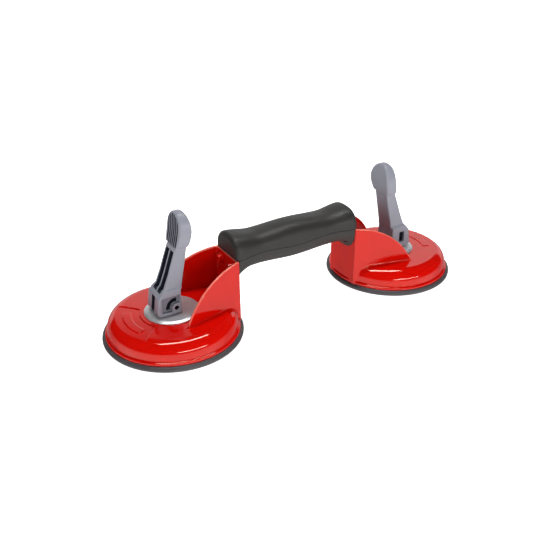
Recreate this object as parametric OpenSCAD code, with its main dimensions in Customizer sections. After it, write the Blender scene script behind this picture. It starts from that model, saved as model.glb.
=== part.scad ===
// Two-cup suction lifter. X runs along the handle, Y across it, Z up.
// The origin is on the glass, midway between the two cups. Millimetres.
// One cup unit is drawn with its own axis at the origin and its handle side
// towards +X; the left unit is that shape, the right unit is its mirror image.

/* [Layout] */
// Distance between the two cup axes
cup_spacing = 230.6; // [226:0.2:240]
// Diameter of the rubber sealing lip
lip_d = 120; // [119:0.5:121]
// Number of facets on the round parts
round_fn = 96; // [48:8:144]

/* [Rubber pad] */
// Thickness of the pad at its outer edge
pad_edge_h = 4.8; // [4.4:0.1:5.2]
// Height of the hollow under the middle of the pad
pad_hollow_h = 2.2; // [1.5:0.1:2.4]
// Rubber under the pull plate
pad_web_h = 3.3; // [3:0.1:3.4]

/* [Cover] */
// Diameter of the cover at its brim
cover_d = 114.6; // [113:0.2:115]
// Height of the flat top of the cover
cover_top_z = 22; // [21.6:0.1:22.4]
// Sheet thickness of the cover
sheet_t = 2.2; // [1.8:0.1:2.4]
// Distance from the cup axis to the outer face of the end wall
end_wall_u = 55.4; // [55:0.1:56]
// Width of the end wall
end_wall_w = 38.6; // [38:0.2:40]
// Height of the end wall's top edge
end_wall_top_z = 61.5; // [60:0.5:63]
// Flare of each side wall away from the handle axis
side_flare = 14.4; // [13:0.2:15]

/* [Washer and stud] */
// Outer diameter of the pressure washer
washer_d = 47; // [46:0.5:48]
// Height of the washer's raised face above the cover
washer_h = 2.3; // [2.2:0.1:2.6]
// Diameter of the pull stud
stud_d = 8; // [7.6:0.2:8.2]
// Height of the lever pin's axis above the washer
pin_above_washer = 6; // [5.8:0.1:6.4]
// Diameter of the lever pin
pin_d = 4; // [3.6:0.1:4.2]

/* [Lever] */
// Distance from the pin axis to the outward face of the lever's foot
foot_reach = 17; // [16:0.1:17.2]
// How far the lever swings from released to locked
lever_swing = 98; // [96:1:99]
// Width of the lever's foot
foot_w = 22.6; // [22:0.2:24]
// Width of the lever's stem
stem_w = 17.2; // [17:0.2:18]
// Width of the thumb paddle
paddle_w = 26; // [24:0.5:28]
// Height of the top of the paddle
lever_top_z = 111; // [109:0.5:113]

/* [Handle] */
// Width of the grip at mid-length
grip_w = 34; // [32:0.5:36]
// Width of the grip at its ends
grip_end_w = 38.6; // [38:0.2:40]
// Height of the underside of the grip at mid-length
grip_low_z = 46.5; // [46:0.5:48]
// Height of the top of the grip at mid-length
grip_high_z = 79; // [78:0.5:80]
// Height of the seam between the soft grip and the lower shell
seam_z = 61; // [60:0.5:62]
// Thread diameter of the screws that hold the handle
screw_d = 5; // [4:0.5:5]
// Distance between the two screws at each end
screw_pitch = 20; // [18:1:20]

/* [Hidden] */
$fn = round_fn;

touch_gap = 0.3;          // air between curved faces that pass each other
slide_gap = 0.05;         // radial clearance of a shaft in its bore
over = 1;                 // how far a cutter runs past the face it cuts
cup_x = cup_spacing / 2;
lip_r = lip_d / 2;
grip_half = cup_x - end_wall_u;

// Heights of the stack on the cup axis
plate_low_z = pad_hollow_h + pad_web_h;
plate_t = 1.8;
plate_top_z = plate_low_z + plate_t;
plate_r = 34;
washer_top_z = cover_top_z + washer_h;
pin_z = washer_top_z + pin_above_washer;
stud_r = stud_d / 2;
pin_r = pin_d / 2;
rivet_r = 5.5;
rivet_h = 1;
shank_r = 3;
tongue_t = 5.6;
bush_barrel_r = 7;
bush_head_r = 10;
bush_head_h = 0.9;
washer_t = 1;

// Cover
brim_r = cover_d / 2;
brim_h = 2.4;
dish_r = brim_r - 2.1;    // outer face of the upright part of the dish
dish_bend_r = 11;         // bend between that part and the flat top
wall_arc_r = 66;          // arc of the walls' top edge
wall_arc_u = 59.5;
wall_arc_z = end_wall_top_z - sqrt(pow(wall_arc_r, 2) - pow(wall_arc_u - end_wall_u, 2));
wall_tip_u = -1.8;
panel_in_r = 27.3;        // recessed panel on the outward side of the cover
panel_depth = 0.6;
panel_apex_u = -8.5;
panel_half_angle = 48;

// Lever
swing_rad = lever_swing * PI / 180;
foot_bottom = pin_above_washer - touch_gap;
cam_rise = (foot_reach - pin_above_washer) / swing_rad;   // mm of lift per radian
stud_rise = cam_rise * swing_rad;
foot_in_u = 4.9;
crease_z = 47.5;
neck_z = 80;
slot_w = 6.2;
pocket_depth = 3.4;
boss_r = 3.7;

// Handle
screw_z = 53;
screw_r = screw_d / 2;
core_block_l = 8;
core_beam_w = 20;
core_low_z = 52;
core_high_z = 70;
grip_gap = 0.15;
bow = 2.6;                // squareness of the grip's cross-section
arc_n = 20;
shell_screw_x = [-30, 0, 30];

// Points of an elliptical arc about c, with half axes rx and rz
function arc_points(c, rx, rz, from, to, steps) =
    [for (i = [0 : steps]) let (a = from + (to - from) * i / steps) c + [rx * cos(a), rz * sin(a)]];

// One side of the lever's cam, about the pin axis. The distance from the pin to the
// tangent grows evenly with the angle, so the lever lifts the stud at an even rate.
function cam_point(a) =
    let (p = foot_bottom + cam_rise * a * PI / 180)
    [-p * sin(a) - cam_rise * cos(a), -p * cos(a) + cam_rise * sin(a)];

// Places a profile drawn in the X-Z plane and gives it a width along Y
module across(w) {
    rotate([90, 0, 0]) linear_extrude(height = w, center = true) children();
}

module left() { translate([-cup_x, 0, 0]) children(); }
module right() { translate([cup_x, 0, 0]) mirror([1, 0, 0]) children(); }

// ---------- one cup unit ----------

module rubber_pad() {
    flat_r = 38;
    lip_in_r = 48;
    ring_r = dish_r - sheet_t - 0.4;
    ring_h = 1.8;
    color([0.16, 0.16, 0.17]) difference() {
        rotate_extrude() polygon([
            [0, pad_hollow_h], [flat_r, pad_hollow_h], [lip_in_r, 0], [lip_r - 1.4, 0],
            [lip_r, 1.2], [lip_r, pad_edge_h - 1.4], [lip_r - 1.2, pad_edge_h],
            [ring_r, pad_edge_h], [ring_r, pad_edge_h + ring_h], [ring_r - 2, pad_edge_h + ring_h],
            [lip_in_r, pad_edge_h - 0.6], [flat_r, plate_low_z], [0, plate_low_z]
        ]);
        translate([0, 0, plate_low_z - rivet_h]) cylinder(r = rivet_r + touch_gap, h = rivet_h + over);
    }
}

module pull_plate() {
    color("silver") translate([0, 0, plate_low_z]) difference() {
        cylinder(r = plate_r, h = plate_t);
        translate([0, 0, -over]) cylinder(r = shank_r, h = plate_t + 2 * over);
    }
}

// A round stud with two flats at its top, long enough for the flats to stay in the
// lever's slot when the stud is pulled up
module pull_stud() {
    tongue_z = washer_top_z - washer_t - stud_rise;
    color("gainsboro") difference() {
        union() {
            translate([0, 0, plate_low_z - rivet_h]) cylinder(r = rivet_r, h = rivet_h);
            translate([0, 0, plate_low_z]) cylinder(r = shank_r, h = plate_t);
            translate([0, 0, plate_top_z]) cylinder(r = stud_r, h = tongue_z - plate_top_z);
            intersection() {
                union() {
                    translate([0, 0, tongue_z]) cylinder(r = stud_r, h = pin_z - tongue_z);
                    translate([0, 0, pin_z]) across(tongue_t) circle(r = stud_r);
                }
                translate([-stud_d, -tongue_t / 2, tongue_z]) cube([2 * stud_d, tongue_t, pin_z + stud_d - tongue_z]);
            }
        }
        translate([0, 0, pin_z]) across(stud_d + over) circle(r = pin_r + slide_gap);
    }
}

module guide_bush() {
    color("ivory") difference() {
        union() {
            translate([0, 0, cover_top_z - sheet_t]) cylinder(r = bush_barrel_r, h = sheet_t);
            translate([0, 0, cover_top_z]) cylinder(r = bush_head_r, h = bush_head_h);
        }
        cylinder(r = stud_r + slide_gap, h = cover_top_z + bush_head_h + over);
    }
}

module pressure_washer() {
    flange_r = washer_d / 2;
    face_r = flange_r - 4.5;
    hat_r = 17;
    color("gainsboro") translate([0, 0, cover_top_z]) rotate_extrude() polygon([
        [hat_r, 0], [flange_r - 0.3, 0], [flange_r, 0.3], [flange_r, washer_t - 0.2],
        [flange_r - 0.3, washer_t], [flange_r - 2.2, washer_t + 0.3], [face_r + 0.8, washer_h - 0.3],
        [face_r - 0.6, washer_h], [stud_r + 0.6, washer_h], [stud_r + 0.6, washer_h - washer_t],
        [hat_r, washer_h - washer_t]
    ]);
}

// Rounded bend of the dish, from the flat top out to the upright part, drawn g inside its outer face
function dish_bend(g) = arc_points([dish_r - dish_bend_r, cover_top_z - dish_bend_r],
    dish_bend_r - g, dish_bend_r - g, 90, 0, 16);

// The dished sheet of the cover, from the hole in its middle to its brim
module cover_dish() {
    brim_top = pad_edge_h + brim_h;
    under = dish_bend(sheet_t);
    rotate_extrude() polygon(concat(
        [[bush_barrel_r, cover_top_z]], dish_bend(0),
        [[dish_r, brim_top + 1], [dish_r + 0.4, brim_top + 0.2], [brim_r - 0.7, brim_top],
         [brim_r, brim_top - 0.7], [brim_r, pad_edge_h], [dish_r - sheet_t, pad_edge_h]],
        [for (i = [len(under) - 1 : -1 : 0]) under[i]], [[bush_barrel_r, cover_top_z - sheet_t]]
    ));
}

// Plan of the three walls, grown outwards by g
module wall_plan(g) {
    half_w = end_wall_w / 2;
    run = end_wall_u + 12;
    spread = run * tan(side_flare);
    side_g = g / cos(side_flare);
    polygon([
        [end_wall_u + g, -half_w - side_g + g * tan(side_flare)],
        [end_wall_u + g, half_w + side_g - g * tan(side_flare)],
        [end_wall_u - run, half_w + spread + side_g],
        [end_wall_u - run, -half_w - spread - side_g]
    ]);
}

// Everything under the dished sheet, down to the glass
module under_dish() {
    rotate_extrude() polygon(concat(
        [[0, -over], [0, cover_top_z - sheet_t]], dish_bend(sheet_t), [[dish_r - sheet_t, -over]]
    ));
}

module cover_walls() {
    difference() {
        intersection() {
            linear_extrude(height = 2 * end_wall_top_z) difference() {
                wall_plan(0);
                wall_plan(-sheet_t);
            }
            across(2 * lip_d) intersection() {
                translate([wall_arc_u, wall_arc_z]) circle(r = wall_arc_r);
                translate([wall_tip_u, pad_edge_h]) square([end_wall_u - wall_tip_u, end_wall_top_z]);
            }
        }
        under_dish();
    }
}

// Wedge on the outward side of the cover, from a point near the axis to past the brim
module outward_wedge(apex_u, half_angle, low_z) {
    reach = lip_d;
    translate([apex_u, 0, low_z]) linear_extrude(height = sheet_t) polygon([
        [0, 0], [-reach * cos(half_angle), reach * sin(half_angle)],
        [-reach * cos(half_angle), -reach * sin(half_angle)]
    ]);
}

// A flat recess, open at the bend of the dish, that leaves a plain raised strip standing
module panel_recess() {
    strip_in_r = panel_in_r + 7;
    strip_w = 7;
    difference() {
        outward_wedge(panel_apex_u, panel_half_angle, cover_top_z - panel_depth);
        cylinder(r = panel_in_r, h = 2 * cover_top_z);
        intersection() {
            outward_wedge(0, 27, cover_top_z - panel_depth - over);
            difference() {
                cylinder(r = strip_in_r + strip_w, h = cover_top_z - panel_depth / 3);
                translate([0, 0, -over]) cylinder(r = strip_in_r, h = 2 * cover_top_z);
            }
        }
    }
}

module cover() {
    color([0.86, 0.06, 0.05]) difference() {
        union() {
            cover_dish();
            cover_walls();
        }
        panel_recess();
        at_handle_screws() translate([0, 0, -over]) cylinder(r = screw_r + 0.25, h = sheet_t + 2 * over);
    }
}

// ---------- lever ----------

// Side view of the foot: the cam underneath, the locked face outwards, the shoulder on top
module foot_profile() {
    steps = 14;
    cam = [for (i = [0 : steps]) cam_point(lever_swing * i / steps) + [0, pin_z]];
    draft = tan(lever_swing - 90);
    face_top_z = crease_z - 5.5;
    face_top_u = cam[steps][0] + draft * (face_top_z - cam[steps][1]);
    polygon(concat(
        [[foot_in_u, pin_z - foot_bottom]], cam,
        [[face_top_u, face_top_z], [-9.7, crease_z], [6.2, crease_z + over], [foot_in_u, crease_z - 2]]
    ));
}

// Side view of the stem, which leans towards the handle
module stem_profile() {
    polygon([
        [-9.7, crease_z - over], [-4.8, 59], [-1.5, 68.4], [1.3, 76.2], [3.4, neck_z + 2],
        [13.6, neck_z + 2], [11, 69], [8.1, 56], [6.2, crease_z - over]
    ]);
}

// Side view of the thumb paddle
module paddle_profile() {
    top = lever_top_z;
    polygon([
        [2.9, neck_z + 1], [4.6, 88], [6, 94], [6.8, 100], [7.2, top - 6], [7.8, top - 2.4],
        [9.4, top], [13.6, top], [15.6, top - 2.2], [17, top - 6.6], [17.6, 99], [17.4, 93.5], [16, 87],
        [14, neck_z + 1]
    ]);
}

// Front view of the foot and stem
module lever_front() {
    half_foot = foot_w / 2;
    half_stem = stem_w / 2;
    polygon([
        [-half_foot, 0], [half_foot, 0], [half_foot, crease_z - 1.5], [half_stem + 1, crease_z + 1],
        [half_stem, neck_z + 3], [-half_stem, neck_z + 3], [-half_stem - 1, crease_z + 1],
        [-half_foot, crease_z - 1.5]
    ]);
}

// Front view of the paddle: an oval head that narrows to the stem, shrunk by g
module paddle_front(g) {
    head_z = 95.5;
    half_w = paddle_w / 2 - g;
    low = (neck_z + 1 - head_z) / 23;
    polygon(concat(
        arc_points([0, head_z], half_w, lever_top_z - head_z - g, 0, 180, 24),
        arc_points([0, head_z], half_w, 23 - g, 180, 180 - asin(low), 6),
        arc_points([0, head_z], half_w, 23 - g, 360 + asin(low), 360, 6)
    ));
}

module from_front(depth) {
    rotate([90, 0, 90]) linear_extrude(height = depth, center = true) children();
}

module lever_slots() {
    rim_w = 1.8;
    rib_w = 2.6;
    channel_w = (stem_w - 2 * rim_w - rib_w) / 2;
    groove_w = 1.7;
    groove_pitch = 3.2;
    // grip grooves in the paddle's outward face
    for (i = [-2.5 : 2.5]) intersection() {
        translate([0, i * groove_pitch, 0]) across(groove_w)
            polygon([[-9, neck_z], [3.9, neck_z], [7.4, 93], [8.6, 100], [8.6, 120], [-9, 120]]);
        from_front(4 * foot_w) paddle_front(2.6);
    }
    // two channels down the stem, one each side of a rib
    for (side = [-1, 1]) translate([0, side * (rib_w + channel_w) / 2, 0]) across(channel_w) polygon([
        [-14, crease_z + 1.5], [-4.2, crease_z + 1.5], [0, 59], [3.2, 68.4], [6.4, neck_z], [-9, neck_z]
    ]);
    // slot for the stud, open below and outwards
    across(slot_w) union() {
        translate([0, pin_z]) circle(r = stud_r + 1);
        polygon([
            [-2 * foot_reach, 0], [2 * foot_reach, 0], [2 * foot_reach, pin_z],
            [stud_r + 1, pin_z], [0, pin_z + stud_r + 1], [-9, crease_z - 6], [-2 * foot_reach, crease_z - 6]
        ]);
    }
}

// Pocket in one cheek of the foot, round the pin's boss, with a curved slot through its floor
module cheek_pocket() {
    translate([0, -foot_w / 2 + pocket_depth / 2 - over / 2, pin_z]) across(pocket_depth + over)
        difference() {
            translate([-13.4, -0.8]) square([16.6, 12.4]);
            circle(r = boss_r);
            translate([0, -boss_r]) square([boss_r, 2 * boss_r]);
        }
    translate([0, -foot_w / 4, pin_z]) across(foot_w / 2 + over) intersection() {
        difference() {
            circle(r = 9);
            circle(r = 5.8);
        }
        polygon([[0, 0], [-20, 0], [-20, 20], [2, 20]]);
    }
}

module lever() {
    color([0.52, 0.56, 0.62]) difference() {
        union() {
            intersection() {
                across(foot_w) {
                    foot_profile();
                    stem_profile();
                }
                from_front(4 * foot_w) lever_front();
            }
            intersection() {
                across(2 * foot_w) paddle_profile();
                from_front(4 * foot_w) paddle_front(0);
            }
        }
        lever_slots();
        cheek_pocket();
        mirror([0, 1, 0]) cheek_pocket();
        translate([0, 0, pin_z]) across(foot_w + over) circle(r = pin_r);
    }
}

module lever_pin() {
    color("silver") translate([0, 0, pin_z]) across(foot_w - 1) difference() {
        circle(r = pin_r);
        circle(r = pin_r * 0.6);
    }
}

// ---------- handle fixings at each end wall ----------

module at_handle_screws() {
    for (side = [-1, 1]) translate([end_wall_u - sheet_t, side * screw_pitch / 2, screw_z])
        rotate([0, 90, 0]) children();
}

module screw_washers() {
    color([0.8, 0.08, 0.07]) at_handle_screws() translate([0, 0, -1]) difference() {
        cylinder(r = screw_d, h = 1);
        translate([0, 0, -over]) cylinder(r = screw_r + 0.25, h = 1 + 2 * over);
    }
}

module handle_screws() {
    head_h = 3;
    color([0.8, 0.08, 0.07]) at_handle_screws() difference() {
        union() {
            translate([0, 0, -1 - head_h]) cylinder(r1 = screw_r + 1.2, r2 = screw_r + 1.8, h = head_h);
            translate([0, 0, -1]) cylinder(r = screw_r, h = 1 + sheet_t + core_block_l - 2);
        }
        translate([0, 0, -2 - head_h]) cylinder(d = 4, h = 3, $fn = 6);
    }
}

// ---------- handle ----------

// Evenly falls from 1 to 0 as x goes from 0 to w
function fade(x, w) = x >= w ? 0 : 0.5 + 0.5 * cos(180 * x / w);

function grip_half_w(x) = grip_w / 2 + (grip_end_w - grip_w) / 2 * fade(grip_half - abs(x), 26);
function grip_top(x) = grip_high_z - 2 * (1 - fade(abs(x), 38)) + 3 * fade(grip_half - abs(x), 26);
function grip_seam(x) = seam_z + 2 * (1 - fade(abs(x), 34)) - 1.2 * fade(grip_half - abs(x), 20);
function grip_bottom(x) =
    grip_low_z + 1.8 * (1 - fade(abs(x), 38)) - 9 * pow(max(0, 1 - (grip_half - abs(x)) / 15), 2);

// Cross-section rings, given as [y, z] points that start and end on the seam
function bow_point(half_w, h, a) =
    [half_w * sign(cos(a)) * pow(abs(cos(a)), 2 / bow), h * pow(sin(a), 2 / bow)];
function upper_ring(x) = [for (i = [0 : arc_n])
    let (p = bow_point(grip_half_w(x), grip_top(x) - grip_seam(x) - grip_gap, 180 * i / arc_n))
    [x, p[0], grip_seam(x) + grip_gap + p[1]]];
function lower_ring(x) = [for (i = [0 : arc_n])
    let (p = bow_point(grip_half_w(x) - 0.5, grip_seam(x) - grip_bottom(x), 180 - 180 * i / arc_n))
    [x, p[0], grip_seam(x) - p[1]]];

// A solid through a row of rings that all have the same number of points
module loft(rings) {
    n = len(rings[0]);
    last = len(rings) - 1;
    polyhedron(
        points = [for (ring = rings) for (p = ring) p],
        faces = concat(
            [[for (i = [0 : n - 1]) i]],
            [[for (i = [n - 1 : -1 : 0]) last * n + i]],
            [for (k = [0 : last - 1]) for (i = [0 : n - 1])
                let (j = (i + 1) % n) each [[k * n + i, (k + 1) * n + i, (k + 1) * n + j],
                    [k * n + i, (k + 1) * n + j, k * n + j]]]
        ),
        convexity = 4
    );
}

// Places along the handle where a ring is drawn, from -l to l
function stations(l) = [for (i = [0 : 24]) -l + 2 * l * i / 24];

// The core: a beam with a block and two round screw bosses at each end, grown by g
module core_shape(g) {
    beam_l = 2 * (grip_half - core_block_l) + over;
    boss = 4.2 + g;
    block_w = screw_pitch + 5;
    translate([-beam_l / 2, -core_beam_w / 2 - g, core_low_z - g])
        cube([beam_l, core_beam_w + 2 * g, core_high_z - core_low_z + 2 * g]);
    for (side = [-1, 1]) translate([side * (grip_half - core_block_l / 2), 0, 0]) {
        translate([-core_block_l / 2 - g, -block_w / 2 - g, screw_z])
            cube([core_block_l + 2 * g, block_w + 2 * g, core_high_z - screw_z - 4 + g]);
        for (y = [-1, 1]) translate([0, y * screw_pitch / 2, screw_z]) rotate([0, 90, 0])
            cylinder(r = boss, h = core_block_l + 2 * g, center = true);
        translate([-core_block_l / 2 - g, -screw_pitch / 2, screw_z - boss])
            cube([core_block_l + 2 * g, screw_pitch, boss]);
    }
}

module handle_core() {
    color("silver") difference() {
        core_shape(0);
        for (side = [-1, 1], y = [-1, 1])
            translate([side * (grip_half + over), y * screw_pitch / 2, screw_z]) rotate([0, -90 * side, 0])
                cylinder(r = screw_r, h = core_block_l + over);
        for (x = shell_screw_x) translate([x, 0, core_low_z - over]) cylinder(r = 3.2, h = 8 + over);
    }
}

// The soft grip runs on over the top edge of each end wall
module soft_grip() {
    tail = grip_half + sheet_t;
    color([0.13, 0.13, 0.13]) difference() {
        loft([for (x = stations(tail)) upper_ring(x)]);
        core_shape(0.1);
        for (side = [-1, 1]) translate([side * (tail + grip_half) / 2, 0, end_wall_top_z / 2 + 0.1])
            cube([sheet_t, 2 * grip_w, end_wall_top_z + 0.2], center = true);
    }
}

module lower_shell() {
    color([0.2, 0.19, 0.18]) difference() {
        loft([for (x = stations(grip_half)) lower_ring(x)]);
        core_shape(0.1);
        for (x = shell_screw_x) translate([x, 0, 0]) {
            cylinder(r = 1.6, h = core_low_z + over);
            cylinder(r = 3.4, h = grip_low_z + 3);
        }
    }
}

module shell_inserts() {
    color("goldenrod") for (x = shell_screw_x) translate([x, 0, core_low_z]) difference() {
        cylinder(r = 3.2, h = 7);
        translate([0, 0, -over]) cylinder(r = 1.5, h = 7 + 2 * over);
    }
}

module shell_screws() {
    head_h = 2.2;
    color("dimgray") for (x = shell_screw_x) translate([x, 0, grip_low_z + 3]) difference() {
        union() {
            cylinder(r = 1.5, h = core_low_z - grip_low_z + 2);
            translate([0, 0, -head_h]) cylinder(r = 2.8, h = head_h);
        }
        translate([0, 0, -head_h - over]) cylinder(d = 2.5, h = 1.2 + over, $fn = 6);
    }
}

left() rubber_pad();  // left_rubber_pad
left() pull_plate();  // left_pull_plate
left() pull_stud();  // left_pull_stud
left() guide_bush();  // left_guide_bush
left() cover();  // left_cover
left() pressure_washer();  // left_pressure_washer
left() lever();  // left_lever
left() lever_pin();  // left_lever_pin
left() handle_screws();  // left_handle_screws
left() screw_washers();  // left_screw_washers
right() rubber_pad();  // right_rubber_pad
right() pull_plate();  // right_pull_plate
right() pull_stud();  // right_pull_stud
right() guide_bush();  // right_guide_bush
right() cover();  // right_cover
right() pressure_washer();  // right_pressure_washer
right() lever();  // right_lever
right() lever_pin();  // right_lever_pin
right() handle_screws();  // right_handle_screws
right() screw_washers();  // right_screw_washers
handle_core();
soft_grip();
lower_shell();
shell_screws();
shell_inserts();
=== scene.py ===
"""Looks for the two-cup suction lifter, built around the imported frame.

Shapes are worked out in millimetres. A cup unit has its own axes: u points from the
cup's axis to the handle, y runs across, z up. The right unit is the left one turned
half way round. The rounded parts are skins of distance fields: a field is a function
of (u, y, z) that is negative inside the part and grows about 1 per millimetre.
"""

import math

import bpy
import numpy as np
from mathutils import Matrix, Vector


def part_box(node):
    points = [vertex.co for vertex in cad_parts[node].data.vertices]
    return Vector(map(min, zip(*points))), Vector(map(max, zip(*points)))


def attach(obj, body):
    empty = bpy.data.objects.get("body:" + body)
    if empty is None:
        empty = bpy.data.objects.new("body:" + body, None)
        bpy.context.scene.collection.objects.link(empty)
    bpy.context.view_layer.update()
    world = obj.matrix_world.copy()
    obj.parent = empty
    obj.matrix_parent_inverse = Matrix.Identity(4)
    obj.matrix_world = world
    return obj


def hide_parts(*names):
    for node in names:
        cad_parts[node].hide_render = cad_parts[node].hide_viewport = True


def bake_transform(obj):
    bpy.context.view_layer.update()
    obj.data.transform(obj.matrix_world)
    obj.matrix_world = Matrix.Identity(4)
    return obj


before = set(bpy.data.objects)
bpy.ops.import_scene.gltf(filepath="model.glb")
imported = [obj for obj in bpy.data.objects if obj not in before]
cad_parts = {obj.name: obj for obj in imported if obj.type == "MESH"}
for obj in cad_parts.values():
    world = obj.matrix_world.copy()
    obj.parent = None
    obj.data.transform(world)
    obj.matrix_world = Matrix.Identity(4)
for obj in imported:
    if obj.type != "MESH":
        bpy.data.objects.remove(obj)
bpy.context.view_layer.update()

MM = 0.001
SIDES = {"left": -1, "right": 1}


def box_mm(node):
    """Lowest and highest corner of a CAD node, in millimetres."""
    low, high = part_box(node)
    return np.array(low) / MM, np.array(high) / MM


# ---------- sizes, read from the frame or set beside it ----------

pad_low, pad_high = box_mm("left_rubber_pad")
cover_low, cover_high = box_mm("left_cover")
washer_low, washer_high = box_mm("left_pressure_washer")
lever_low, lever_high = box_mm("left_lever")
pin_low, pin_high = box_mm("left_lever_pin")
plate_low, plate_high = box_mm("left_pull_plate")
grip_low, grip_high = box_mm("soft_grip")
shell_low, shell_high = box_mm("lower_shell")

CUP_X = -(pad_low[0] + pad_high[0]) / 2
LIP_R = (pad_high[1] - pad_low[1]) / 2 - 0.02  # a hair inside the CAD lip
PAD_EDGE_Z = cover_low[2]
BRIM_R = (cover_high[1] - cover_low[1]) / 2
COVER_TOP_Z = washer_low[2]
WALL_TOP_Z = cover_high[2]
WALL_U = cover_high[0] + CUP_X - 1.9  # the end wall's outer face, inside the brim's edge
WASHER_R = (washer_high[1] - washer_low[1]) / 2
WASHER_TOP_Z = washer_high[2]
PIN_Z = (pin_low[2] + pin_high[2]) / 2
PIN_R = (pin_high[2] - pin_low[2]) / 2
LEVER_TOP_Z = lever_high[2]
PADDLE_HALF_W = (lever_high[1] - lever_low[1]) / 2
PLATE_Z = plate_low[2]
GRIP_HALF_L = grip_high[0]
SHELL_HALF_L = shell_high[0]

SHEET_T = 2.2  # of the cover's sheet
BRIM_T = 2.4
DISH_R = BRIM_R - 2.1
DISH_BEND_R = 11  # of the dish's shoulder
WALL_HALF_W = 19.3  # at the end wall
WALL_FLARE = math.radians(14.4)
WALL_TIP_U = -1.8  # where the side walls end
WALL_ARC_R = 66  # of the arc along the tops of the side walls
WALL_ARC_U = WALL_U + 4.1
WALL_FILLET = 1.4
PANEL_DEPTH = 0.8
PANEL_IN_R = 27.3
PANEL_APEX_U = -8.5
PANEL_HALF_ANGLE = 48
STRIP_R = 37.8
STRIP_HALF_W = 3.5
STRIP_HALF_ANGLE = 27
STRIP_RISE = 0.4
SCREW_Y = 10
SCREW_Z = 53
SCREW_HOLE_R = 2.75
BUSH_R = 7

# grid steps of the skins: finer shows more, but a cover has to stay under 200,000 triangles
COVER_GRID = 0.69
LEVER_GRID = 0.42
HANDLE_GRID = 0.6


# ---------- distance fields ----------


def meet(a, b, r=0.0):
    """What two fields share, its edges rounded by r."""
    if r == 0:
        return np.maximum(a, b)
    return np.minimum(-r, np.maximum(a, b)) + np.hypot(np.maximum(r + a, 0), np.maximum(r + b, 0))


def join(a, b, r=0.0):
    """Both fields together, with a fillet of radius r between them."""
    return -meet(-a, -b, r)


def cut(a, b, r=0.0):
    """The first field without the second, its edges rounded by r."""
    return meet(a, -b, r)


def slab(value, low, high, r=0.0):
    """Everything between two values of one coordinate."""
    return meet(low - value, value - high, r)


def block(point, low, high, r=0.0):
    """A box with rounded edges."""
    sides = [slab(p, a, b) for p, a, b in zip(point, low, high)]
    return meet(meet(sides[0], sides[1], r), sides[2], r)


def outline(points, a, b):
    """Distance from (a, b) to a closed outline, negative inside."""
    a, b = np.broadcast_arrays(a, b)
    nearest = np.full(a.shape, 1e9)
    inside = np.zeros(a.shape, bool)
    points = np.asarray(points, float)
    for (a0, b0), (a1, b1) in zip(points, np.roll(points, -1, axis=0)):
        run, rise = a1 - a0, b1 - b0
        t = np.clip(((a - a0) * run + (b - b0) * rise) / (run * run + rise * rise), 0, 1)
        nearest = np.minimum(nearest, np.hypot(a - a0 - t * run, b - b0 - t * rise))
        if rise:
            inside ^= ((b0 <= b) != (b1 <= b)) & (a < a0 + (b - b0) * run / rise)
    return np.where(inside, -nearest, nearest)


def arc(centre, half_a, half_b, start, end, steps):
    """Points of an elliptical arc, with angles in degrees."""
    turns = np.radians(np.linspace(start, end, steps + 1))
    return [(centre[0] + half_a * math.cos(t), centre[1] + half_b * math.sin(t)) for t in turns]


def softened(points, share=0.25, rounds=2):
    """A closed outline with its corners cut back, each time by that share of an edge."""
    points = np.asarray(points, float)
    for _ in range(rounds):
        after = np.roll(points, -1, axis=0)
        trim = (after - points) * share
        points = np.stack([points + trim, after - trim], 1).reshape(-1, 2)
    return points


# the eight corners of a grid cell, and the pairs of them that its edges join
CORNERS = np.array([(i, j, k) for i in (0, 1) for j in (0, 1) for k in (0, 1)])
EDGES = [(a, b) for a in range(8) for b in range(a + 1, 8) if abs(CORNERS[a] - CORNERS[b]).sum() == 1]


def slope(field, points, step):
    """Gradient of a field at some points."""
    parts = []
    for axis in range(3):
        shift = np.zeros(3)
        shift[axis] = step
        parts.append((field(*(points + shift).T) - field(*(points - shift).T)) / (2 * step))
    return np.stack(parts, 1)


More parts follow.
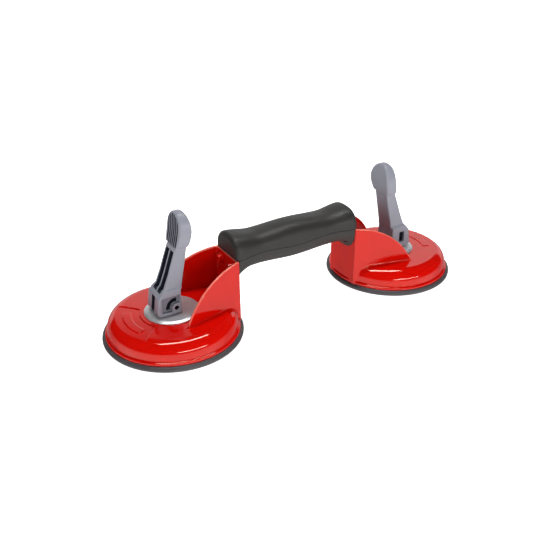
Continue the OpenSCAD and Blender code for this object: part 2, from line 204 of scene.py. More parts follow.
def skin(field, low, high, step):
    """Surface of a field between two corners: vertices, quads and normals.

    Each grid cell that the surface crosses gets one vertex, which is then moved onto the surface.
    """
    low = np.array(low, float) - 2 * step
    count = np.ceil((np.array(high) + 2 * step - low) / step).astype(int) + 1
    grid = np.ix_(*(low[i] + step * np.arange(count[i]) for i in range(3)))
    value = np.broadcast_to(field(*grid), count)
    inside = value < 0
    cells = count - 1
    filled = np.zeros(cells, np.int8)
    for i, j, k in CORNERS:
        filled += inside[i : i + cells[0], j : j + cells[1], k : k + cells[2]]
    crossed = np.argwhere((filled > 0) & (filled < 8))
    number = np.full(cells, -1)
    number[tuple(crossed.T)] = np.arange(len(crossed))

    corner_value = np.stack([value[tuple((crossed + c).T)] for c in CORNERS], 1)
    total = np.zeros((len(crossed), 3))
    hits = np.zeros((len(crossed), 1))
    for a, b in EDGES:
        va, vb = corner_value[:, a], corner_value[:, b]
        cuts = (va < 0) != (vb < 0)
        share = np.where(cuts, va / np.where(cuts, va - vb, 1), 0)[:, None]
        total += np.where(cuts[:, None], CORNERS[a] + (CORNERS[b] - CORNERS[a]) * share, 0)
        hits += cuts[:, None]
    points = low + step * (crossed + total / hits)
    for _ in range(3):
        grad = slope(field, points, step * 0.05)
        move = grad * (field(*points.T) / np.maximum((grad**2).sum(1), 0.05))[:, None]
        points -= np.clip(move, -0.3 * step, 0.3 * step)

    quads = []
    for axis in range(3):
        j, k = (axis + 1) % 3, (axis + 2) % 3
        inner = [slice(None)] * 3
        inner[j] = slice(1, -1)
        inner[k] = slice(1, -1)
        start, end = list(inner), list(inner)
        start[axis] = slice(None, -1)
        end[axis] = slice(1, None)
        here, there = inside[tuple(start)], inside[tuple(end)]
        edge = np.argwhere(here != there)
        flips = here[tuple(edge.T)]
        base = edge.copy()
        step_j, step_k = np.eye(3, dtype=int)[j], np.eye(3, dtype=int)[k]
        ring = [base, base + step_j, base + step_j + step_k, base + step_k]
        quad = np.stack([number[tuple(r.T)] for r in ring], 1)
        quads.append(np.where(flips[:, None], quad, quad[:, ::-1]))
    normals = slope(field, points, step * 0.25)
    normals /= np.maximum(np.linalg.norm(normals, axis=1, keepdims=True), 1e-9)
    return points, np.concatenate(quads), normals


def add_piece(name, points, faces, normals=None):
    """A smooth-shaded mesh object from points in millimetres."""
    mesh = bpy.data.meshes.new(name)
    mesh.from_pydata(np.asarray(points) * MM, [], np.asarray(faces).tolist())
    mesh.polygons.foreach_set("use_smooth", np.ones(len(mesh.polygons), bool))
    if normals is not None:
        mesh.normals_split_custom_set_from_vertices(normals)
    piece = bpy.data.objects.new(name, mesh)
    bpy.context.scene.collection.objects.link(piece)
    return piece


def mark(piece, attribute, values):
    """Stores one number per vertex, for a look to read."""
    layer = piece.data.attributes.new(attribute, "FLOAT", "POINT")
    layer.data.foreach_set("value", values.astype(np.float32))


def rounded(points, radius, steps=4):
    """A closed outline with its corners rounded."""
    points = np.asarray(points, float)
    smooth = []
    for before, here, after in zip(np.roll(points, 1, axis=0), points, np.roll(points, -1, axis=0)):
        back, ahead = before - here, after - here
        reach = min(radius, 0.45 * np.linalg.norm(back), 0.45 * np.linalg.norm(ahead))
        start = here + back / np.linalg.norm(back) * reach
        end = here + ahead / np.linalg.norm(ahead) * reach
        for t in np.linspace(0, 1, steps + 1):
            smooth.append(start * (1 - t) ** 2 + 2 * here * t * (1 - t) + end * t**2)
    return smooth


def lathe(name, profile, segments=160):
    """A piece turned about the unit's axis from a closed outline of (radius, z) points."""
    profile = np.asarray(profile, float)
    turns = 2 * np.pi * np.arange(segments) / segments
    points = [(r * math.cos(t), r * math.sin(t), z) for t in turns for r, z in profile]
    ahead = np.roll(profile, -1, axis=0) - profile
    along = ahead + np.roll(ahead, 1, axis=0)
    along /= np.hypot(*along.T)[:, None]
    normals = [(z * math.cos(t), z * math.sin(t), -r) for t in turns for r, z in along]
    n = len(profile)
    faces = []
    for s in range(segments):
        for i in range(n):
            a, b = s * n + i, s * n + (i + 1) % n
            c, d = ((s + 1) % segments) * n + (i + 1) % n, ((s + 1) % segments) * n + i
            faces.append((a, d, c, b))
    return add_piece(name, points, faces, normals)


# ---------- materials ----------


def new_material(name):
    """A new material, its node tree and its shader node."""
    material = bpy.data.materials.new(name)
    material.use_nodes = True
    return material, material.node_tree, material.node_tree.nodes["Principled BSDF"]


def add_node(tree, kind, inputs=None, **settings):
    """A node with its settings, and its inputs set to values or linked to sockets."""
    node = tree.nodes.new(kind)
    for key, value in settings.items():
        setattr(node, key, value)
    for key, value in (inputs or {}).items():
        if isinstance(value, bpy.types.NodeSocket):
            tree.links.new(value, node.inputs[key])
        else:
            node.inputs[key].default_value = value
    return node


def noise(tree, coords, scale, detail=2.0):
    """Noise whose features are about scale millimetres across."""
    inputs = {"Vector": coords, "Scale": 1 / (scale * MM), "Detail": detail}
    return add_node(tree, "ShaderNodeTexNoise", inputs).outputs["Fac"]


def finish_look(
    name, colour, roughness, metallic=0.0, specular=0.5, specular_tint=(1, 1, 1),
    tone=0.06, tone_scale=14.0, grain=0.4, grain_depth=0.006, gloss_change=0.05, extra=None,
):
    """A moulded, painted or machined surface: uneven tone, uneven gloss and a fine grain.

    tone is how far the colour wanders, over patches of tone_scale millimetres. grain and
    grain_depth are the size and depth of the grain in millimetres. extra is a function
    that takes the colour and height sockets and returns new ones.
    """
    material, tree, shader = new_material(name)
    coords = add_node(tree, "ShaderNodeTexCoord").outputs["Object"]
    patches = noise(tree, coords, tone_scale, 3)
    dark = [c * (1 - tone) for c in colour] + [1]
    light = [min(1, c * (1 + tone)) for c in colour] + [1]
    mixed = add_node(
        tree, "ShaderNodeMix", {"Factor": patches, "A": dark, "B": light}, data_type="RGBA"
    ).outputs["Result"]
    height = noise(tree, coords, grain, 3)
    if extra:
        mixed, height = extra(tree, coords, mixed, height)
    smears = noise(tree, coords, tone_scale * 0.4, 4)
    gloss = add_node(
        tree, "ShaderNodeMapRange",
        {"Value": smears, "To Min": roughness - gloss_change, "To Max": roughness + gloss_change},
    ).outputs["Result"]
    bump = add_node(
        tree, "ShaderNodeBump", {"Height": height, "Strength": 1.0, "Distance": grain_depth * MM}
    ).outputs["Normal"]
    for socket, value in (("Base Color", mixed), ("Roughness", gloss), ("Normal", bump)):
        tree.links.new(value, shader.inputs[socket])
    shader.inputs["Metallic"].default_value = metallic
    shader.inputs["Specular IOR Level"].default_value = specular
    shader.inputs["Specular Tint"].default_value = (*specular_tint, 1)
    return material


def turned_rings(pitch, depth):
    """Fine rings round the unit's axis, as a lathe leaves them."""

    def extra(tree, coords, colour, height):
        flat = add_node(
            tree, "ShaderNodeVectorMath", {0: coords, 1: (1, 1, 0)}, operation="MULTIPLY"
        ).outputs["Vector"]
        radius = add_node(tree, "ShaderNodeVectorMath", {0: flat}, operation="LENGTH").outputs["Value"]
        turns = add_node(
            tree, "ShaderNodeMath", {0: radius, 1: 2 * math.pi / (pitch * MM)}, operation="MULTIPLY"
        ).outputs["Value"]
        wave = add_node(tree, "ShaderNodeMath", {0: turns}, operation="SINE").outputs["Value"]
        ridges = add_node(
            tree, "ShaderNodeMath", {0: wave, 1: depth, 2: height}, operation="MULTIPLY_ADD"
        ).outputs["Value"]
        return colour, ridges

    return extra


def marked(attribute, colour_there, strength=1.0):
    """A second colour that shows where an attribute of the piece is 1. The script uses it for painted
    shade and a painted highlight.
    """

    def extra(tree, coords, colour, height):
        there = add_node(tree, "ShaderNodeAttribute", attribute_name=attribute).outputs["Fac"]
        share = add_node(
            tree, "ShaderNodeMath", {0: there, 1: strength}, operation="MULTIPLY"
        ).outputs["Value"]
        inputs = {"Factor": share, "A": colour, "B": (*colour_there, 1)}
        mixed = add_node(tree, "ShaderNodeMix", inputs, data_type="RGBA").outputs["Result"]
        return mixed, height

    return extra


LOOKS = {
    "red_enamel": finish_look(
        "red_enamel", (0.54, 0.003, 0.001), 0.05, specular=0.55, specular_tint=(1, 0.84, 0.72),
        tone=0.04, grain=4.0, grain_depth=0.005, gloss_change=0.02,
        # painted highlight: a lighter red along the top edges of the cover's walls
        extra=marked("painted_rim_highlight", (0.95, 0.30, 0.22), 0.5),
    ),
    "lever_plastic": finish_look(
        "lever_plastic", (0.235, 0.242, 0.285), 0.36, tone=0.05, grain=0.35, grain_depth=0.008,
        # painted shade: a dark colour in the lever's grooves, channels, slots and pockets
        extra=marked("recess", (0.020, 0.024, 0.040)),
    ),
    "soft_grip": finish_look(
        "soft_grip", (0.020, 0.019, 0.017), 0.47, tone=0.2, tone_scale=9, grain=1.2, grain_depth=0.09,
        specular=0.4,
    ),
    "shell_plastic": finish_look(
        "shell_plastic", (0.026, 0.023, 0.021), 0.45, tone=0.12, grain=0.5, grain_depth=0.02,
        specular=0.35,
    ),
    "rubber": finish_look(
        "rubber", (0.050, 0.044, 0.048), 0.55, tone=0.15, tone_scale=6, grain=0.6, grain_depth=0.02,
    ),
    "bright_washer": finish_look(
        "bright_washer", (0.56, 0.57, 0.59), 0.33, metallic=0.6, tone=0.04, grain=0.5,
        grain_depth=0.001, extra=turned_rings(0.35, 0.3),
    ),
    "plated_steel": finish_look(
        "plated_steel", (0.62, 0.63, 0.65), 0.24, metallic=1.0, tone=0.08, grain=0.25, grain_depth=0.004,
    ),
    "bush_plastic": finish_look(
        "bush_plastic", (0.72, 0.70, 0.62), 0.34, tone=0.04, grain=0.3, grain_depth=0.006,
    ),
    "core_aluminium": finish_look(
        "core_aluminium", (0.66, 0.67, 0.68), 0.38, metallic=1.0, tone=0.08, grain=0.5, grain_depth=0.02,
    ),
    "black_steel": finish_look(
        "black_steel", (0.035, 0.035, 0.038), 0.34, metallic=1.0, tone=0.2, grain=0.25, grain_depth=0.006,
    ),
    "brass": finish_look(
        "brass", (0.72, 0.50, 0.18), 0.26, metallic=1.0, tone=0.1, grain=0.3, grain_depth=0.006,
    ),
}


def dress(piece, look):
    """Gives a new piece its material."""
    piece.data.materials.clear()
    piece.data.materials.append(LOOKS[look])
    return piece


def place(piece, side, body, node):
    """Puts a unit's piece on its cup axis, to ride on a body and stand for a CAD node."""
    turn = Matrix.Rotation(0 if side == "left" else math.pi, 4, "Z")
    piece.matrix_world = Matrix.Translation((SIDES[side] * CUP_X * MM, 0, 0)) @ turn
    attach(piece, body)
    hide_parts(node)
    return piece


# ---------- covers ----------


def dish_solid(rho, z, inset):
    """Everything under the dish's outer face, or inset inside it."""
    bend = DISH_BEND_R - inset
    return meet(rho - (DISH_R - inset), z - (COVER_TOP_Z - inset), bend)


def wedge(u, y, apex_u, half_angle):
    """The outward sector from a point on the u axis."""
    half_angle = math.radians(half_angle)
    return np.abs(y) * math.cos(half_angle) + (u - apex_u) * math.sin(half_angle)


def wall_top(u, z):
    """Height over the arc that the tops of the walls follow."""
    arc_z = WALL_TOP_Z - math.sqrt(WALL_ARC_R**2 - (WALL_ARC_U - WALL_U) ** 2)
    return np.hypot(u - WALL_ARC_U, z - arc_z) - WALL_ARC_R


def walls(u, y, z):
    """The end wall and the two side walls that sweep down from it."""
    along = (WALL_U - u) * math.sin(WALL_FLARE)
    beside = (np.abs(y) - WALL_HALF_W) * math.cos(WALL_FLARE) - along
    outer = meet(u - WALL_U, beside, 0.9)
    inner = meet(u - WALL_U + SHEET_T, beside + SHEET_T, 1.6)
    sheet = meet(cut(outer, inner), wall_top(u, z), 0.9)
    return meet(sheet, WALL_TIP_U - u, 2.0)


def panel(u, y, z, rho):
    """The shallow recess on the outward side of the cover."""
    region = meet(wedge(u, y, PANEL_APEX_U, PANEL_HALF_ANGLE), PANEL_IN_R - rho, 1.0)
    return meet(region, COVER_TOP_Z - PANEL_DEPTH - z)


def plain_strip(u, y, z, rho):
    """A raised strip, left plain, on the floor of the recess."""
    region = meet(np.abs(rho - STRIP_R) - STRIP_HALF_W, wedge(u, y, 0, STRIP_HALF_ANGLE), 1.5)
    return meet(region, z - (COVER_TOP_Z - PANEL_DEPTH + STRIP_RISE), 0.3)


def cover_field(u, y, z):
    """The whole cover: dish, brim and walls, hollow below, with its recess, strip and holes."""
    rho = np.hypot(u, y)
    brim = meet(rho - BRIM_R, z - (PAD_EDGE_Z + BRIM_T), 0.9)
    body = join(dish_solid(rho, z, 0), brim, 1.2)
    body = join(body, walls(u, y, z), WALL_FILLET)
    body = cut(body, panel(u, y, z, rho), 0.25)
    body = join(body, plain_strip(u, y, z, rho), 0.3)
    body = cut(body, dish_solid(rho, z, SHEET_T))
    body = meet(body, PAD_EDGE_Z - z, 0.3)
    screw_hole = np.hypot(np.abs(y) - SCREW_Y, z - SCREW_Z) - SCREW_HOLE_R
    body = cut(body, meet(screw_hole, WALL_U - 10 - u), 0.2)
    return meet(body, BUSH_R - rho, 0.2)


def build_covers():
    """A painted highlight, a lighter red, runs along the top edges of the walls."""
    low = (-BRIM_R, -BRIM_R, PAD_EDGE_Z)
    shape = skin(cover_field, low, (WALL_U + 2.5, BRIM_R, WALL_TOP_Z), COVER_GRID)
    points = shape[0]
    # where the painted highlight lies: on the wall tops, fading in over half a millimetre
    near_rim = np.clip((wall_top(points[:, 0], points[:, 2]) + 0.9) / 0.5, 0, 1)
    on_wall = np.clip((points[:, 2] - COVER_TOP_Z - 1.5) / 2, 0, 1)
    for side in SIDES:
        piece = add_piece(f"{side}_cover_shell", *shape)
        mark(piece, "painted_rim_highlight", near_rim * on_wall)
        place(dress(piece, "red_enamel"), side, "root", f"{side}_cover")


# ---------- levers ----------

SWING = math.radians(98)
FOOT_GAP = 0.3  # between the foot and the washer
FOOT_LIFT = PIN_Z - WASHER_TOP_Z - FOOT_GAP  # from the pin down to the sole
FOOT_REACH = 17  # from the pin out to the washer when locked
FOOT_CORNER_R = 4.5  # between the sole and the locking face
FOOT_HALF_W = 11.3
STEM_HALF_W = 8.6
CREASE_Z = 47.5  # where the stem meets the foot
FACE_TOP_Z = CREASE_Z - 5.5
SLOT_HALF_W = 3.1
POCKET_DEPTH = 2.4
POCKET_SHADE = 0.4  # how far the pockets go to the painted shade's dark colour
POCKET_U = (-12.8, 3.2)
CURVED_SLOT_R = (5.2, 8.6)  # its inner and outer radius about the pin
WINDOW_U = (-9.6, -3.6)
WINDOW_Z = (30.4, 41)
BOSS_R = 4.3  # round the pin
GROOVE_PITCH = 3.3
GROOVE_HALF_W = 1.15
GROOVE_DEPTH = 2.4
RIB_HALF_W = 1.0  # of the rib down the stem
STEM_RIM = 1.5  # beside the stem's channels


def foot_field(u, z):
    """Side view of the foot: a flat sole, a rounded corner, and the face that the lever locks on."""
    sole = PIN_Z - FOOT_LIFT - z
    face_out = FOOT_REACH - FOOT_GAP
    face = (z - PIN_Z) * -math.cos(SWING) - u * math.sin(SWING) - face_out
    face_u = ((FACE_TOP_Z - PIN_Z) * -math.cos(SWING) - face_out) / math.sin(SWING)
    rest = [
        (4.9, 20), (-30, 20), (-30, FACE_TOP_Z), (face_u, FACE_TOP_Z), (-12, 45.6),
        (-9.7, CREASE_Z + 1), (6.2, CREASE_Z + 1), (4.9, 45.5),
    ]
    return meet(meet(sole, face, FOOT_CORNER_R), outline(rest, u, z))


# side views of the stem and of the thumb paddle, as (u, z)
STEM_OUTLINE = [
    (-10.6, 46.2), (-9.2, 48.5), (-4.8, 59), (-1.5, 68.4), (1.3, 76.2),
    (3.4, 82), (13.6, 82), (11, 69), (8.1, 56), (6.2, 46.5),
]
PADDLE_OUTLINE = [
    (2.9, 81), (4.6, 88), (6, 94), (6.8, 100), (7.2, 105), (7.6, 109), (8.8, 111.2), (14.4, 111.2),
    (16.2, 108.6), (17.2, 104), (17.7, 99), (17.4, 93.5), (16, 87), (14, 81),
]
# front view of half the foot and stem, as (y, z)
STEM_FRONT = [
    (-20, 0), (FOOT_HALF_W, 0), (FOOT_HALF_W, 46), (9.6, 48.5), (STEM_HALF_W, 83), (-20, 83),
]
HEAD_Z = 95.5  # where the paddle is widest
HEAD_TAPER_H = 23  # half height of the ellipse that narrows it below


def head_front(y, z, inset):
    """Front view of the paddle: half of one ellipse above its widest place and of a longer one below."""
    half_w = PADDLE_HALF_W - inset
    above = arc((0, HEAD_Z), half_w, LEVER_TOP_Z - HEAD_Z - inset, 90, 0, 24)
    below = arc((0, HEAD_Z), half_w, HEAD_TAPER_H - inset, 0, -39, 8)
    return outline([(-20, LEVER_TOP_Z - inset), *above, *below[1:], (-20, below[-1][1])], np.abs(y), z)


def lever_hull(u, y, z):
    """The lever before its slots, grooves and pockets."""
    front = outline(STEM_FRONT, np.abs(y), z)
    foot = meet(foot_field(u, z), front, 1.3)
    stem = meet(outline(STEM_OUTLINE, u, z), front, 1.1)
    head = meet(outline(softened(PADDLE_OUTLINE), u, z), head_front(y, z, 0), 1.8)
    return join(join(foot, stem, 0.4), head, 0.8)


def grip_grooves(u, y, z):
    """Six grooves down the paddle's outward face."""
    nearest = np.clip(np.round(y / GROOVE_PITCH - 0.5), -3, 2) + 0.5
    groove = np.abs(y - nearest * GROOVE_PITCH) - GROOVE_HALF_W
    floor = -outline(PADDLE_OUTLINE, u, z) - GROOVE_DEPTH
    return meet(meet(meet(groove, floor), head_front(y, z, 1.9)), u - 11)


def stem_channels(u, y, z):
    """Two channels down the stem, one each side of a rib."""
    across = slab(np.abs(y), RIB_HALF_W, STEM_HALF_W - STEM_RIM)
    side = [(-20, 45), (-8, 45), (-3, 50), (1.2, 59), (4.4, 68.4), (7.6, 79), (-9, 79)]
    return meet(across, outline(side, u, z))


def stud_slot(u, y, z):
    """The slot that straddles the stud, open below and outwards."""
    roof_z = FACE_TOP_Z - 0.5
    side = [(-40, 0), (40, 0), (40, PIN_Z), (5, PIN_Z), (0, PIN_Z + 5), (-9, roof_z), (-40, roof_z)]
    return meet(np.abs(y) - SLOT_HALF_W, outline(side, u, z))


def cheek_openings(u, y, z):
    """A shallow pocket with a curved slot in one cheek, and a window in the other."""
    from_pin = np.hypot(u, z - PIN_Z)
    boss = meet(from_pin - BOSS_R, u - 6)
    lug = join(boss, block((u, y, z), (0, -20, PIN_Z - BOSS_R), (8, 20, PIN_Z + BOSS_R)))
    shape = meet(slab(u, *POCKET_U), slab(z, PIN_Z - 2.4, PIN_Z + 11.6), 0.8)
    pocket = meet(cut(shape, lug, 0.3), FOOT_HALF_W - POCKET_DEPTH + y)
    bend = outline([(0, PIN_Z - 1), (-20, PIN_Z - 1), (-20, 50), (3, 50)], u, z)
    slot = meet(meet(slab(from_pin, *CURVED_SLOT_R), bend), y)
    window = meet(meet(slab(u, *WINDOW_U), slab(z, *WINDOW_Z), 0.8), -y)
    return join(pocket, join(slot, window))


def lever_field(u, y, z):
    """The whole lever."""
    body = cut(lever_hull(u, y, z), grip_grooves(u, y, z), 0.3)
    for opening in (stem_channels, stud_slot, cheek_openings):
        body = cut(body, opening(u, y, z), 0.3)
    return cut(body, np.hypot(u, z - PIN_Z) - PIN_R)


def build_levers():
    """Painted shade darkens the plastic in the grooves, channels and slots, and partly in the pockets."""
    low, high = (-18, -PADDLE_HALF_W, PIN_Z - FOOT_LIFT), (18.5, PADDLE_HALF_W, LEVER_TOP_Z)
    points, quads, normals = skin(lever_field, low, high, LEVER_GRID)
    # painted shade: the deeper below the hull, the darker; the pockets only partly
    depth = -lever_hull(*points.T)
    in_cheek = (points[:, 2] < FACE_TOP_Z + 1) & (np.abs(points[:, 1]) >= SLOT_HALF_W + 0.3)
    dark = np.clip((depth - np.where(in_cheek, POCKET_DEPTH + 0.4, 0.05)) / 0.3, 0, 1)
    pocket = np.clip((depth - POCKET_DEPTH + 1) / 0.8, 0, 1) * in_cheek
    for side in SIDES:
        piece = add_piece(f"{side}_lever_casting", points, quads, normals)
        mark(piece, "recess", np.maximum(dark, POCKET_SHADE * pocket))
        place(dress(piece, "lever_plastic"), side, f"{side}_lever_body", f"{side}_lever")


# ---------- handle ----------

WALL_X = CUP_X - WALL_U  # the outer face of the end walls
SEAM_GAP = 0.15
SQUARENESS = 2.6  # of the handle's section: 2 is an ellipse
END_REACH = 26  # how far in the handle's swelling ends reach
BEAM_ROOM = ((-1, -10.15, 51.85), (52.5, 10.15, 70.15))  # for half the core's beam
BLOCK_LOW = (51.7, -14.4, 48.6)  # where the core's end block starts
BLOCK_HALF_W = 14.4
BLOCK_TOP_Z = 66.2
SHELL_SCREWS_X = (-30, 0, 30)
SHELL_HOLE_R = 1.6
SHELL_HEAD_R = 3.4
SHELL_HEAD_Z = 49.5


def fade(x, width):
    """Falls evenly from 1 to 0 as x goes from 0 to width."""
    return 0.5 + 0.5 * np.cos(np.pi * np.clip(x / width, 0, 1))


def wave(x, middle, beyond, half_l):
    """A height that goes smoothly from the handle's middle to another one, half_l away."""
    return beyond + (middle - beyond) * fade(np.abs(x), half_l)


def grip_half_w(x):
    """Half the handle's width, which grows near the ends."""
    middle, flare = 17, 2.3
    return middle + flare * fade(WALL_X - np.abs(x), END_REACH)


def grip_top(x):
    """Height of the handle's top, waved for the hand and raised at the ends."""
    end_rise = 3
    return wave(x, 79, 77, 38) + end_rise * fade(WALL_X - np.abs(x), END_REACH)


def grip_seam(x):
    """Height of the seam between the grip and the shell, which waves too."""
    end_drop = 1.2
    return wave(x, 61, 63, 34) - end_drop * fade(WALL_X - np.abs(x), 20)


def grip_bottom(x):
    """Height of the handle's underside, which swells down at the ends."""
    end_drop = 9
    near_end = np.clip(1 - (WALL_X - np.abs(x)) / 15, 0, 2)
    return wave(x, 46.5, 48.3, 38) - end_drop * near_end**2


def bow_tube(half_w, half_h, y, z):
    """Distance to an oval tube with slightly squared sides."""
    size = (np.abs(y) / half_w) ** SQUARENESS + (np.abs(z) / half_h) ** SQUARENESS
    size = size ** (1 / SQUARENESS)
    return np.hypot(y, z) * (1 - 1 / np.maximum(size, 1e-6))


def core_room(x, y, z, end_x):
    """The space in the handle that its core fills, up to end_x each way."""
    point = (np.abs(x), y, z)
    end_block = block(point, BLOCK_LOW, (end_x, BLOCK_HALF_W, BLOCK_TOP_Z))
    return join(block(point, *BEAM_ROOM), end_block)


def grip_field(x, y, z):
    """The soft grip: the handle above the seam, cut away over the end walls."""
    above = z - grip_seam(x)
    body = bow_tube(grip_half_w(x), grip_top(x) - grip_seam(x), y, above)
    body = meet(body, np.abs(x) - GRIP_HALF_L, 4.0)
    body = meet(body, SEAM_GAP - above, 0.6)
    over_wall = block((np.abs(x), y, z), (WALL_X, -40, 0), (GRIP_HALF_L + 9, 40, WALL_TOP_Z + 0.2))
    return cut(cut(body, over_wall), core_room(x, y, z, WALL_X + 0.5))


def shell_field(x, y, z):
    """The lower shell: the handle below the seam, with three sunk screw holes."""
    above = z - grip_seam(x)
    body = bow_tube(grip_half_w(x) - 0.5, grip_seam(x) - grip_bottom(x), y, above)
    body = meet(body, above, 0.7)
    body = meet(body, np.abs(x) - SHELL_HALF_L, 0.8)
    for screw_x in SHELL_SCREWS_X:
        away = np.hypot(x - screw_x, y)
        sunk_head = meet(away - SHELL_HEAD_R, z - SHELL_HEAD_Z)
        body = cut(body, join(away - SHELL_HOLE_R, sunk_head), 0.3)
    return cut(body, core_room(x, y, z, WALL_X + 9))


def build_handle():
    """The soft grip and the shell under it."""
    for name, node, look, field, low, high in (
        ("handle_soft_grip", "soft_grip", "soft_grip", grip_field, grip_low, grip_high),
        ("handle_lower_shell", "lower_shell", "shell_plastic", shell_field, shell_low, shell_high),
    ):
        piece = dress(add_piece(name, *skin(field, low, high, HANDLE_GRID)), look)
        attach(piece, "root")
        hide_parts(node)


# ---------- washers and pads ----------


def build_washers():
    """Washers pressed like a shallow hat: a flat face, a sloping rim and a thin edge."""
    face_r = WASHER_R - 2.2
    hollow_r = 17
    edge_z = COVER_TOP_Z + 1
    bore_r = 4.6
    outline_points = [
        (hollow_r, COVER_TOP_Z), (WASHER_R, COVER_TOP_Z), (WASHER_R, edge_z),
        (WASHER_R - 0.4, edge_z + 0.2), (face_r, WASHER_TOP_Z), (bore_r, WASHER_TOP_Z),
        (bore_r, WASHER_TOP_Z - 1), (hollow_r, WASHER_TOP_Z - 1),
    ]
    for side in SIDES:
        piece = lathe(f"{side}_dished_washer", rounded(outline_points, 1.0, 6))
        place(dress(piece, "bright_washer"), side, "root", f"{side}_pressure_washer")


def build_pads():
    """Pads with a soft sealing lip. On the real cup the middle follows the pull plate up and the edge
    stays on the glass; here each pad is one fixed piece.
    """
    hollow_z = 2.2
    flat_r, lip_in_r = 38, 48
    recess_r = 5.8
    ring_r = DISH_R - SHEET_T - 0.4
    ribs = []
    for rib_r in (50.5, 53.5, 56.5):
        ribs += [(rib_r - 0.6, 0), (rib_r - 0.2, 0.5), (rib_r + 0.2, 0.5), (rib_r + 0.6, 0)]
    outline_points = [
        (0.01, hollow_z), (flat_r, hollow_z), (lip_in_r, 0), *ribs, (LIP_R - 1.2, 0), (LIP_R, 1.4),
        (LIP_R, PAD_EDGE_Z - 1.6), (LIP_R - 1.4, PAD_EDGE_Z), (ring_r, PAD_EDGE_Z),
        (ring_r, PAD_EDGE_Z + 1.8), (ring_r - 2, PAD_EDGE_Z + 1.8), (lip_in_r, PAD_EDGE_Z - 0.6),
        (flat_r, PLATE_Z), (recess_r, PLATE_Z), (recess_r, PLATE_Z - 1), (0.01, PLATE_Z - 1),
    ]
    for side, sign in SIDES.items():
        piece = lathe(f"{side}_sealing_pad", rounded(outline_points, 0.8, 3))
        dress(piece, "rubber")
        piece.matrix_world = Matrix.Translation((sign * CUP_X * MM, 0, 0))
        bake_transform(piece)
        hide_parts(f"{side}_rubber_pad")


# ---------- CAD nodes that stay ----------

KEPT_LOOKS = {
    "pull_plate": "plated_steel",
    "pull_stud": "plated_steel",
    "guide_bush": "bush_plastic",
    "lever_pin": "black_steel",
    "handle_screws": "red_enamel",
    "screw_washers": "red_enamel",
    "handle_core": "core_aluminium",
    "shell_screws": "black_steel",
    "shell_inserts": "brass",
}


def dress_kept_nodes():
    """Materials and slightly broken edges for the CAD nodes that no new piece stands for."""
    for name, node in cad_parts.items():
        plain_name = name.removeprefix("left_").removeprefix("right_")
        if node.hide_render or plain_name not in KEPT_LOOKS:
            continue
        for material_slot in node.material_slots:
            material_slot.material = LOOKS[KEPT_LOOKS[plain_name]]
        weld = node.modifiers.new("weld", "WELD")
        weld.merge_threshold = 0.002 * MM
        bevel = node.modifiers.new("broken edges", "BEVEL")
        bevel.width = 0.2 * MM
        bevel.segments = 2
        bevel.limit_method = "ANGLE"
        bevel.angle_limit = math.radians(35)
        bevel.harden_normals = True


# ---------- floor, light and camera ----------


def add_stage_sheet(name, points, faces, tones, glow, roughness=0.5, specular=0.5):
    """A pale sheet that isn't part of the object and doesn't show in reflections.

    tones are the darkest and lightest grey of its mottle, and glow is the light it gives off.
    """
    mesh = bpy.data.meshes.new(name)
    mesh.from_pydata(points, [], faces)
    sheet = bpy.data.objects.new(name, mesh)
    bpy.context.scene.collection.objects.link(sheet)
    material, tree, shader = new_material(f"{name}_paper")
    coords = add_node(tree, "ShaderNodeTexCoord").outputs["Object"]
    mottle = add_node(
        tree, "ShaderNodeMapRange",
        {"Value": noise(tree, coords, 300), "To Min": tones[0], "To Max": tones[1]},
    ).outputs["Result"]
    tree.links.new(mottle, shader.inputs["Base Color"])
    shader.inputs["Roughness"].default_value = roughness
    shader.inputs["Specular IOR Level"].default_value = specular
    shader.inputs["Emission Color"].default_value = (1, 1, 1, 1)
    shader.inputs["Emission Strength"].default_value = glow
    mesh.materials.append(material)
    sheet.visible_glossy = False
    return sheet


def build_floor():
    """A matt floor. Reflections see the lower half of the world in its place."""
    reach = 4.0
    points = [(-reach, -reach, 0), (reach, -reach, 0), (reach, reach, 0), (-reach, reach, 0)]
    add_stage_sheet("floor", points, [(0, 1, 2, 3)], (0.70, 0.74), 0.95, roughness=0.9, specular=0.1)


def build_backdrop():
    """A round wall that only the camera sees, so that every view has a plain background."""
    radius, height, segments = 3.9, 6.0, 64
    turns = [2 * math.pi * i / segments for i in range(segments)]
    points = [(radius * math.cos(t), radius * math.sin(t), z) for z in (0, height) for t in turns]
    ring = [(i, (i + 1) % segments) for i in range(segments)]
    faces = [(i, j, segments + j, segments + i) for i, j in ring]
    backdrop = add_stage_sheet("backdrop", points, faces, (0.02, 0.03), 0.97)
    backdrop.visible_diffuse = False
    backdrop.visible_shadow = False


# the photo's camera, as fitted: lengths in metres, the lens in millimetres
VIEW_AZIMUTH = math.radians(30.755)
VIEW_ELEVATION = math.radians(28.621)
VIEW_ROLL = -0.00618
VIEW_DISTANCE = 0.72261
VIEW_TARGET = Vector((0.01125, 0.04273, 0))
VIEW_LENS = 48.368


def view_axes():
    """Forward, right and up of the camera."""
    flat = math.cos(VIEW_ELEVATION)
    forward = Vector(
        (math.sin(VIEW_AZIMUTH) * flat, math.cos(VIEW_AZIMUTH) * flat, -math.sin(VIEW_ELEVATION))
    )
    level = Vector((math.cos(VIEW_AZIMUTH), -math.sin(VIEW_AZIMUTH), 0))
    raised = level.cross(forward)
    right = level * math.cos(VIEW_ROLL) + raised * math.sin(VIEW_ROLL)
    up = raised * math.cos(VIEW_ROLL) - level * math.sin(VIEW_ROLL)
    return forward, right, up


def build_camera():
    """The photo's viewpoint."""
    forward, right, up = view_axes()
    camera = bpy.data.objects.new("camera", bpy.data.cameras.new("camera"))
    bpy.context.scene.collection.objects.link(camera)
    camera.data.sensor_width = 36
    camera.data.lens = VIEW_LENS
    camera.data.clip_start = 0.02
    rotation = Matrix((right, up, -forward)).transposed().to_4x4()
    camera.matrix_world = Matrix.Translation(VIEW_TARGET - forward * VIEW_DISTANCE) @ rotation
    bpy.context.scene.camera = camera


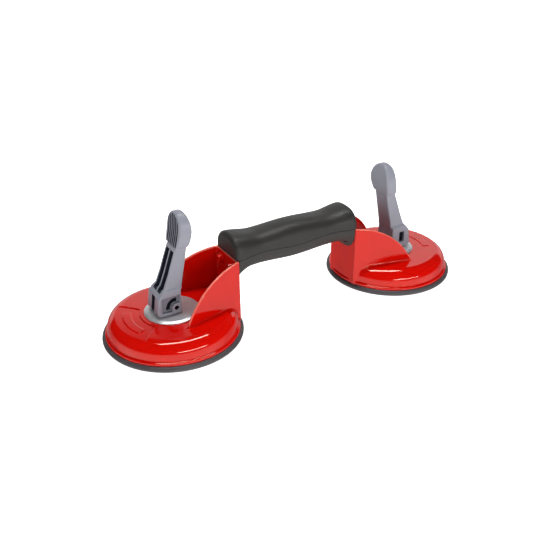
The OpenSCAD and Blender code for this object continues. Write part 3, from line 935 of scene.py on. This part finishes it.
def add_softbox(name, towards, distance, size, power, gloss=True):
    """A soft light that faces the object, its long side along x.

    Distance and size are in metres and power in watts. Without gloss it is a fill that
    leaves no reflection in the enamel.
    """
    outwards = Vector(towards).normalized()
    along = (Vector((1, 0, 0)) - outwards * outwards.x).normalized()
    data = bpy.data.lights.new(name, "AREA")
    data.shape = "RECTANGLE"
    data.size, data.size_y = size
    data.energy = power
    lamp = bpy.data.objects.new(name, data)
    bpy.context.scene.collection.objects.link(lamp)
    rotation = Matrix((along, outwards.cross(along), outwards)).transposed().to_4x4()
    lamp.matrix_world = Matrix.Translation(outwards * distance) @ rotation
    lamp.visible_glossy = gloss


def build_world():
    """The surroundings that the enamel reflects, by direction.

    A white sweep stands behind the object. It is dark overhead and at the sides. Below the
    horizon it is dim behind the object and bright in front, as a pale table would be.
    """
    world = bpy.data.worlds.new("studio")
    bpy.context.scene.world = world
    world.use_nodes = True
    tree = world.node_tree
    background = tree.nodes["Background"]
    direction = add_node(tree, "ShaderNodeTexCoord").outputs["Generated"]
    height = add_node(tree, "ShaderNodeSeparateXYZ", {"Vector": direction}).outputs["Z"]
    near_way = (-math.sin(VIEW_AZIMUTH), -math.cos(VIEW_AZIMUTH), 0)
    facing = add_node(
        tree, "ShaderNodeVectorMath", {0: direction, 1: near_way}, operation="DOT_PRODUCT"
    ).outputs["Value"]
    edge = add_node(
        tree, "ShaderNodeMapRange",
        {"Value": facing, "From Min": -0.86, "From Max": -0.60, "To Min": 0.70, "To Max": 0.07},
    ).outputs["Result"]
    above = add_node(tree, "ShaderNodeMath", {0: height, 1: edge}, operation="SUBTRACT").outputs["Value"]
    sweep = add_node(
        tree, "ShaderNodeMapRange",
        {"Value": above, "From Min": -0.2, "From Max": 0.0, "To Min": 1.0, "To Max": 0.02},
        interpolation_type="SMOOTHSTEP",
    ).outputs["Result"]
    ground = add_node(
        tree, "ShaderNodeMapRange",
        {"Value": facing, "From Min": -0.3, "From Max": 0.25, "To Min": 0.35, "To Max": 1.3},
    ).outputs["Result"]
    below = add_node(
        tree, "ShaderNodeMapRange",
        {"Value": height, "From Min": -0.12, "From Max": 0.08, "To Min": ground, "To Max": 1.0},
        interpolation_type="SMOOTHSTEP",
    ).outputs["Result"]
    level = add_node(tree, "ShaderNodeMath", {0: sweep, 1: below}, operation="MULTIPLY").outputs["Value"]
    tree.links.new(level, background.inputs["Strength"])
    background.inputs["Color"].default_value = (1, 1, 1, 1)


def build_lights():
    """Two strips that draw the streaks in the enamel, and three fills."""
    add_softbox("overhead strip", (0.05, 0.09, 0.97), 1.1, (0.85, 0.16), 9.0)
    add_softbox("front strip", (0.05, -0.965, 0.26), 1.3, (1.15, 0.06), 7.0)
    add_softbox("overhead fill", (0.1, 0.2, 0.97), 1.5, (1.2, 1.2), 2.5, gloss=False)
    add_softbox("front fill", (-0.3, -0.86, 0.42), 1.5, (1.2, 0.8), 5, gloss=False)
    add_softbox("left fill", (-0.85, 0.1, 0.5), 1.5, (0.9, 0.9), 3.5, gloss=False)


bpy.context.scene.view_settings.view_transform = "Standard"
build_covers()
build_levers()
build_handle()
build_washers()
build_pads()
dress_kept_nodes()
build_floor()
build_backdrop()
build_world()
build_lights()
build_camera()
